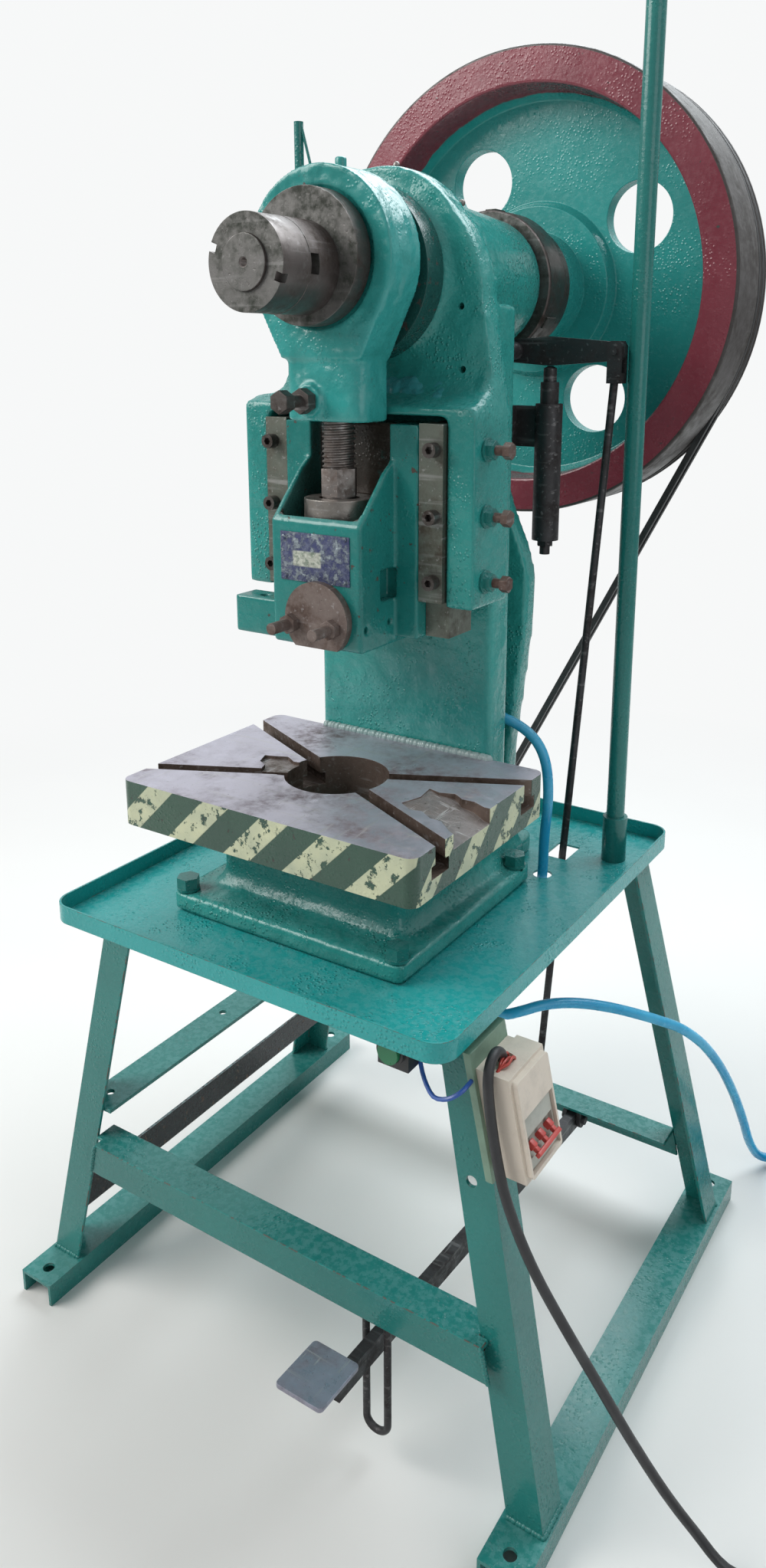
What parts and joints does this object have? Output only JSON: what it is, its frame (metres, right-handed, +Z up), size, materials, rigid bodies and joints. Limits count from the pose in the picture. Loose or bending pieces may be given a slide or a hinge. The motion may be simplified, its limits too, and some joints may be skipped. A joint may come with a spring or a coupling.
{
  "type": "mechanical stamping press",
  "caption": "C-frame eccentric stamping press with rear flywheel, vee-guided slide, slotted bolster, foot pedal trip and belt drive, on a welded angle stand with tray.",
  "frame": {"origin": "middle of the footprint on the floor, without the cords", "axes": "+Z up, the operator stands on the -Y side, +X to the operator's right"},
  "size_m": [1.045, 0.8415, 1.5195],
  "materials": {
    "stand_enamel": "glossy sea-green enamel with spatter and chips",
    "casting_enamel": "thick glossy sea-green enamel over rough cast iron",
    "slide_enamel": "thick glossy enamel over cast iron",
    "rod_enamel": "thick glossy enamel over cast iron",
    "rail_steel": "dark worn primer",
    "bolster_steel": "worn bare top with dark green painted edges",
    "bright_steel": "worn bare steel with oil film",
    "dark_steel": "dark oily steel",
    "black_iron": "dark oily iron",
    "flywheel_enamel": "sea-green web with a chipped crimson rim face",
    "belt_rubber": "worn black rubber",
    "motor_enamel": "dark green enamel",
    "cream_plastic": "aged cream plastic",
    "grey_plastic": "aged grey plastic",
    "red_plastic": "red plastic",
    "black_plastic": "black plastic",
    "cable_rubber": "black cable sheath",
    "wire_plastic": "blue wire insulation",
    "hose_plastic": "light blue hose",
    "fitting_brass": "dull brass"
  },
  "bodies": {
    "frame": {"skid_left": "stand_enamel", "skid_right": "stand_enamel", "leg_front_left": "stand_enamel", "leg_front_right": "stand_enamel", "leg_rear_left": "stand_enamel", "leg_rear_right": "stand_enamel", "crossbar_front": "stand_enamel", "crossbar_rear": "stand_enamel", "side_rail": "rail_steel", "flat_bar": "stand_enamel", "tray": "stand_enamel", "frame_casting": "casting_enamel", "bolster": "bolster_steel", "hold_down_bolts": "dark_steel", "gib_left": "bright_steel", "gib_right": "bright_steel", "gib_screws": "dark_steel", "adjusting_bolts": "bright_steel", "grease_nipples": "bright_steel", "tall_post": "stand_enamel", "head_post": "stand_enamel", "v_belts": "belt_rubber", "motor": "motor_enamel", "motor_bracket": "stand_enamel", "trip_stud": "bright_steel", "spring_housing": "dark_steel", "pedal_bearing": "dark_steel", "pedal_guide": "dark_steel", "switch_box": "cream_plastic", "breaker": "grey_plastic", "box_plate": "cream_plastic", "push_station": "black_plastic", "control_wire": "wire_plastic", "power_cable": "cable_rubber", "cable_coil": "cable_rubber", "power_plug": "black_plastic", "hose_fitting": "fitting_brass", "air_hose": "hose_plastic", "hose_coil": "hose_plastic"},
    "crank": {"crankshaft": "bright_steel", "shaft_nut": "bright_steel", "jaw_ring": "bright_steel", "clutch_ring": "bright_steel", "flywheel_cap": "dark_steel"},
    "ram": {"slide": "slide_enamel", "shank_cap": "bright_steel", "shank_studs": "bright_steel", "ball_ring": "bright_steel"},
    "rod": {"connecting_rod": "rod_enamel", "ball_screw": "bright_steel", "clamp_bolt": "dark_steel"},
    "flywheel": {"flywheel": "flywheel_enamel"},
    "pulley": {"motor_pulley": "bright_steel"},
    "lever": {"trip_lever": "dark_steel"},
    "link": {"pull_rod": "dark_steel"},
    "plunger": {"spring_plunger": "bright_steel"},
    "pedal": {"pedal_arm": "black_iron", "pedal_plate": "black_iron"},
    "toggle": {"breaker_toggle": "red_plastic"},
    "button": {"push_button": "black_plastic"}
  },
  "joints": [
    {"name": "crank_turn", "type": "hinge", "parent": "frame", "child": "crank", "pos_m": [0, -0.2225, 1.208], "axis": [0, 1, 0], "range_deg": [0, 180]},
    {"name": "ram_slide", "type": "slide", "parent": "frame", "child": "ram", "axis": [0, 0, 1], "range_m": [-0.0201, 0]},
    {"name": "rod_rock", "type": "hinge", "parent": "ram", "child": "rod", "pos_m": [0, -0.1225, 0.95], "axis": [0, 1, 0], "range_deg": [-2.3, 2.3]},
    {"name": "flywheel_spin", "type": "hinge", "parent": "frame", "child": "flywheel", "pos_m": [0, -0.2225, 1.208], "axis": [0, 1, 0], "continuous": true},
    {"name": "motor_spin", "type": "hinge", "parent": "frame", "child": "pulley", "pos_m": [-0.177, -0.2225, 0.346], "axis": [0, 1, 0], "continuous": true},
    {"name": "pedal_swing", "type": "hinge", "parent": "frame", "child": "pedal", "pos_m": [0.149, 0.2055, 0.108], "axis": [1, 0, 0], "range_deg": [0, 9], "stiffness_Nm_per_rad": 30, "springref_deg": -17.19},
    {"name": "link_slide", "type": "slide", "parent": "frame", "child": "link", "axis": [0.0695, 0, 0.9976], "range_m": [-0.0115, 0]},
    {"name": "lever_turn", "type": "hinge", "parent": "frame", "child": "lever", "pos_m": [0.068, -0.2225, 1.133], "axis": [0, 1, 0], "range_deg": [0, 5.4]},
    {"name": "plunger_slide", "type": "slide", "parent": "frame", "child": "plunger", "axis": [0, 0, 1], "range_m": [-0.004, 0]},
    {"name": "breaker_flip", "type": "hinge", "parent": "frame", "child": "toggle", "pos_m": [0.30268, -0.2225, 0.434], "axis": [0, 1, 0], "range_deg": [-64, 0]},
    {"name": "button_press", "type": "slide", "parent": "frame", "child": "button", "axis": [0, 1, 0], "range_m": [0, 0.004], "stiffness_N_per_m": 500, "springref_m": -0.003}
  ],
  "couplings": [
    {"joint": "ram_slide", "follows": "crank_turn", "m_per_rad": -0.0063662},
    {"joint": "motor_spin", "follows": "flywheel_spin", "ratio": 6.7635},
    {"joint": "link_slide", "follows": "pedal_swing", "m_per_rad": -0.072174},
    {"joint": "lever_turn", "follows": "pedal_swing", "ratio": 0.59016},
    {"joint": "plunger_slide", "follows": "pedal_swing", "m_per_rad": -0.024787}
  ]
}
